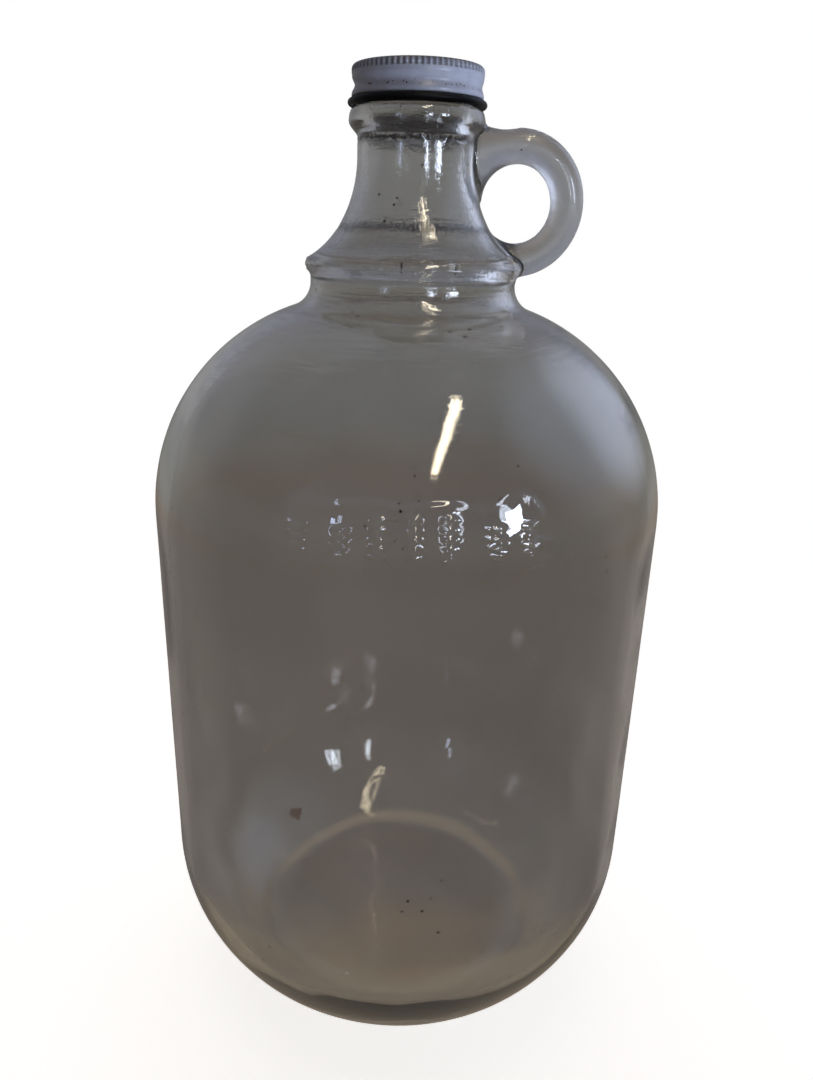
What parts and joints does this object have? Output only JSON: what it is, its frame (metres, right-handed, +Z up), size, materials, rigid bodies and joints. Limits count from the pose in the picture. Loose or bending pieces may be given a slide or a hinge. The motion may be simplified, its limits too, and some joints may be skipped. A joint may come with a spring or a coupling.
{
  "type": "glass jug",
  "caption": "Clear glass jug with a domed shoulder, a flared neck, a round finger handle at the neck, and a knurled white metal screw cap on a dark ring.",
  "frame": {"origin": "middle of the base, on the plane that the jug stands on", "axes": "+Z up along the jug's axis, +X from the axis towards the finger handle, -Y towards the front with the moulded marks"},
  "size_m": [0.162, 0.162, 0.3016],
  "materials": {
    "clear_glass": "clear moulded glass with a faint grey-brown cast and a thin film of dust",
    "white_enamel": "aged white baked enamel on tin, semi-gloss, with small rust specks",
    "liner_board": "dark brown, matt",
    "black_rubber": "black, satin"
  },
  "bodies": {
    "root": {"glass_jug": "clear_glass", "screw_cap": "white_enamel", "cap_liner": "liner_board", "seal_ring": "black_rubber"}
  },
  "joints": []
}
